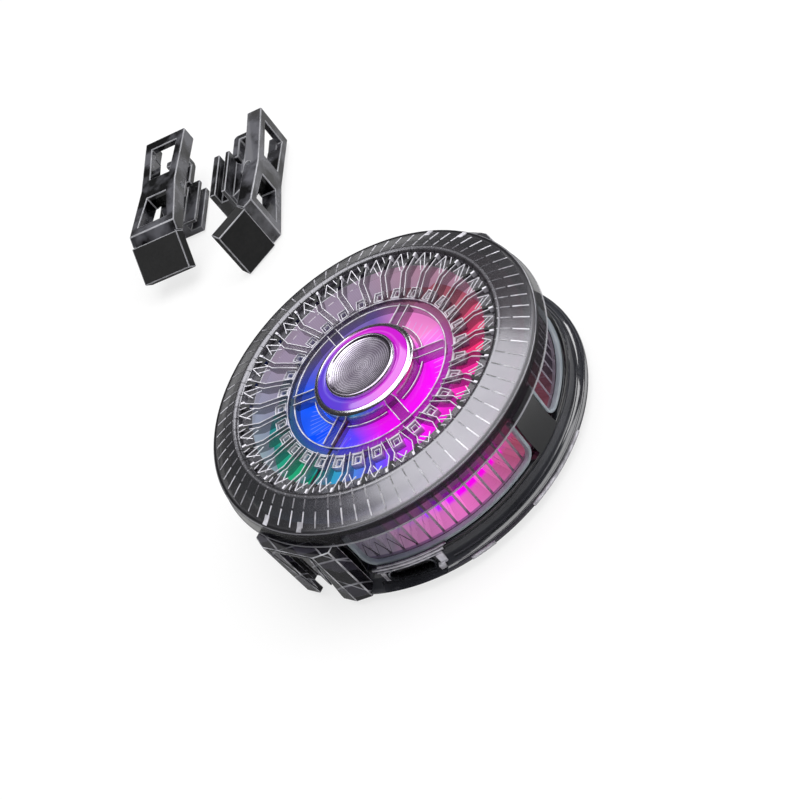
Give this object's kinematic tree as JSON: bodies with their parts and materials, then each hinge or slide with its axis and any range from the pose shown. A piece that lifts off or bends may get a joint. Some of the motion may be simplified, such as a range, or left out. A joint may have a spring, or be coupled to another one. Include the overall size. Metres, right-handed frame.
{
  "type": "phone cooling fan",
  "caption": "Round clip-on cooler for a phone: fan under a vaned clear cover, lit hub ring, finned heat sink, cold contact face and two detachable spring clips.",
  "frame": {"origin": "centre of the contact face that lies on the phone's back", "axes": "+Z out of the inlet grille, -Z out of the contact face, +X towards the right clip dock"},
  "size_m": [0.1061, 0.145, 0.0222],
  "materials": {
    "smoked_clear": "glossy clear smoked polycarbonate",
    "black_gloss": "glossy black smoked plastic",
    "light_frame": "light grey satin plastic",
    "soft_rubber": "matte rubber",
    "thermal_silicone": "matte silicone",
    "bare_aluminium": "machined",
    "ceramic": "white alumina",
    "pellet_metal": "dull",
    "foam": "closed-cell foam",
    "bright_chrome": "polished",
    "light_guide": "frosted light guide",
    "circuit_board": "solder mask",
    "chip_black": "moulded",
    "light_emitter": "clear lens",
    "steel": "plated",
    "bronze": "sintered",
    "magnet_black": "bonded ferrite",
    "laminated_steel": "laminated",
    "copper": "enamelled wire",
    "milky_blade": "milky translucent plastic",
    "grey_plastic": "moulded",
    "tongue_black": "moulded",
    "wire_skin": "insulated wire",
    "clip_plastic": "smoked semi-gloss plastic"
  },
  "bodies": {
    "cooler": {"front_cover": "smoked_clear", "base_shell": "black_gloss", "side_wall": "black_gloss", "dock_left": "black_gloss", "dock_right": "black_gloss", "window_frame_1": "light_frame", "window_frame_2": "light_frame", "window_frame_3": "light_frame", "window_frame_4": "light_frame", "grip_ring": "soft_rubber", "thermal_pad": "thermal_silicone", "cold_plate": "bare_aluminium", "heat_sink": "bare_aluminium", "cold_ceramic": "ceramic", "hot_ceramic": "ceramic", "module_pellets": "pellet_metal", "foam_ring": "foam", "medallion": "bright_chrome", "hub_trim": "bright_chrome", "halo_ring": "light_guide", "hub_board": "circuit_board", "motor_board": "circuit_board", "main_board": "circuit_board", "board_chips": "chip_black", "hub_lights": "light_emitter", "frame_screws": "steel", "hub_screws": "steel", "board_screws": "steel", "port_shell": "steel", "bearing_sleeve": "bronze", "stator_core": "laminated_steel", "stator_windings": "copper", "motor_base": "grey_plastic", "port_tongue": "tongue_black", "fan_wires": "wire_skin", "hub_wires": "wire_skin", "module_wires": "wire_skin"},
    "rotor": {"shaft": "steel", "rotor_cup": "steel", "rotor_magnet": "magnet_black", "impeller": "milky_blade"},
    "left_clip": {"left_bracket": "clip_plastic", "left_loop": "clip_plastic", "left_hinge_pin": "steel", "left_spring": "steel"},
    "left_lever_arm": {"left_lever": "clip_plastic", "left_foot_pad": "soft_rubber"},
    "right_clip": {"right_bracket": "clip_plastic", "right_loop": "clip_plastic", "right_hinge_pin": "steel", "right_spring": "steel"},
    "right_lever_arm": {"right_lever": "clip_plastic", "right_foot_pad": "soft_rubber"}
  },
  "joints": [
    {"name": "fan_spin", "type": "hinge", "parent": "cooler", "child": "rotor", "pos_m": [0, 0, 0.0125], "axis": [0, 0, 1], "continuous": true},
    {"name": "left_clip_lift", "type": "slide", "parent": "cooler", "child": "left_clip", "axis": [0, 0, 1], "range_m": [0, 0.06]},
    {"name": "left_lever_squeeze", "type": "hinge", "parent": "left_clip", "child": "left_lever_arm", "pos_m": [0.048, 0.098, 0.0091], "axis": [-0.4939, 0.8695, 0], "range_deg": [0, 12], "stiffness_Nm_per_rad": 0.03, "springref_deg": -28.65},
    {"name": "right_clip_lift", "type": "slide", "parent": "cooler", "child": "right_clip", "axis": [0, 0, 1], "range_m": [0, 0.06]},
    {"name": "right_lever_squeeze", "type": "hinge", "parent": "right_clip", "child": "right_lever_arm", "pos_m": [0.05551, 0.07487, 0.006], "axis": [0, 0, 1], "range_deg": [0, 12], "stiffness_Nm_per_rad": 0.03, "springref_deg": -28.65}
  ]
}
